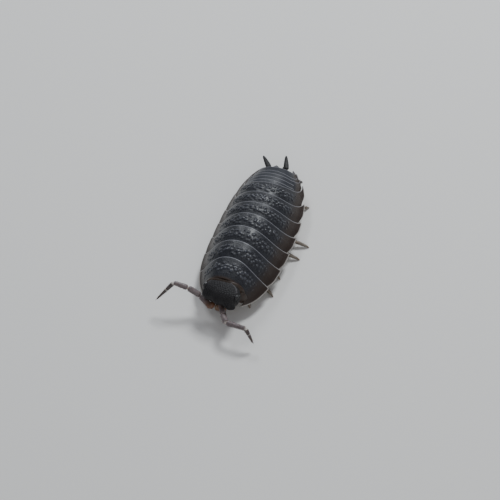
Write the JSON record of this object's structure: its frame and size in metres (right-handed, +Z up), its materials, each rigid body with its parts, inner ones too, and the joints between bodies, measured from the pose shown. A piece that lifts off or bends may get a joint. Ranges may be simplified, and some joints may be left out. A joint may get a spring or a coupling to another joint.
{
  "type": "woodlouse",
  "caption": "Life-size rough woodlouse standing on its legs: domed overlapping back plates, flared side plates, bent feelers, tapered tail with two pointed tail limbs.",
  "frame": {"origin": "centre of the bounding box's footprint, at the level of the soles", "axes": "+Z up, head towards -Y, tail towards +Y, the animal's left side towards +X"},
  "size_m": [0.0098, 0.0184, 0.0039],
  "materials": {
    "shell": "slate-black shell with a soft sheen, pale hind edges and brown, clear-edged side plates",
    "tail_shell": "blue-grey shell with fine cross lines",
    "head_shell": "near black, finely grained",
    "eye": "black, glossy, many small lenses",
    "mouth": "pale horn",
    "antenna": "pinkish grey, pale joints",
    "flagellum": "dark brown-grey",
    "leg": "pale grey-cream",
    "uropod": "dark brown-grey",
    "gill": "off-white"
  },
  "bodies": {
    "root": {"head": "head_shell", "eye_left": "eye", "eye_right": "eye", "mouthparts": "mouth", "antenna_left_base": "antenna", "antenna_left_article_4": "antenna", "antenna_left_article_5": "antenna", "antenna_left_flagellum": "flagellum", "antenna_right_base": "antenna", "antenna_right_article_4": "antenna", "antenna_right_article_5": "antenna", "antenna_right_flagellum": "flagellum", "pereonite_1": "shell", "pereonite_2": "shell", "pereonite_3": "shell", "pereonite_4": "shell", "pereonite_5": "shell", "pereonite_6": "shell", "pereonite_7": "shell", "pleonite_1": "tail_shell", "pleonite_2": "tail_shell", "pleonite_3": "tail_shell", "pleonite_4": "tail_shell", "pleonite_5": "tail_shell", "telson": "tail_shell", "uropod_left_base": "uropod", "uropod_left_exopod": "uropod", "pleopods_left": "gill", "leg_left_1": "leg", "leg_left_2": "leg", "leg_left_3": "leg", "leg_left_4": "leg", "leg_left_5": "leg", "leg_left_6": "leg", "leg_left_7": "leg", "uropod_right_base": "uropod", "uropod_right_exopod": "uropod", "pleopods_right": "gill", "leg_right_1": "leg", "leg_right_2": "leg", "leg_right_3": "leg", "leg_right_4": "leg", "leg_right_5": "leg", "leg_right_6": "leg", "leg_right_7": "leg"}
  },
  "joints": []
}
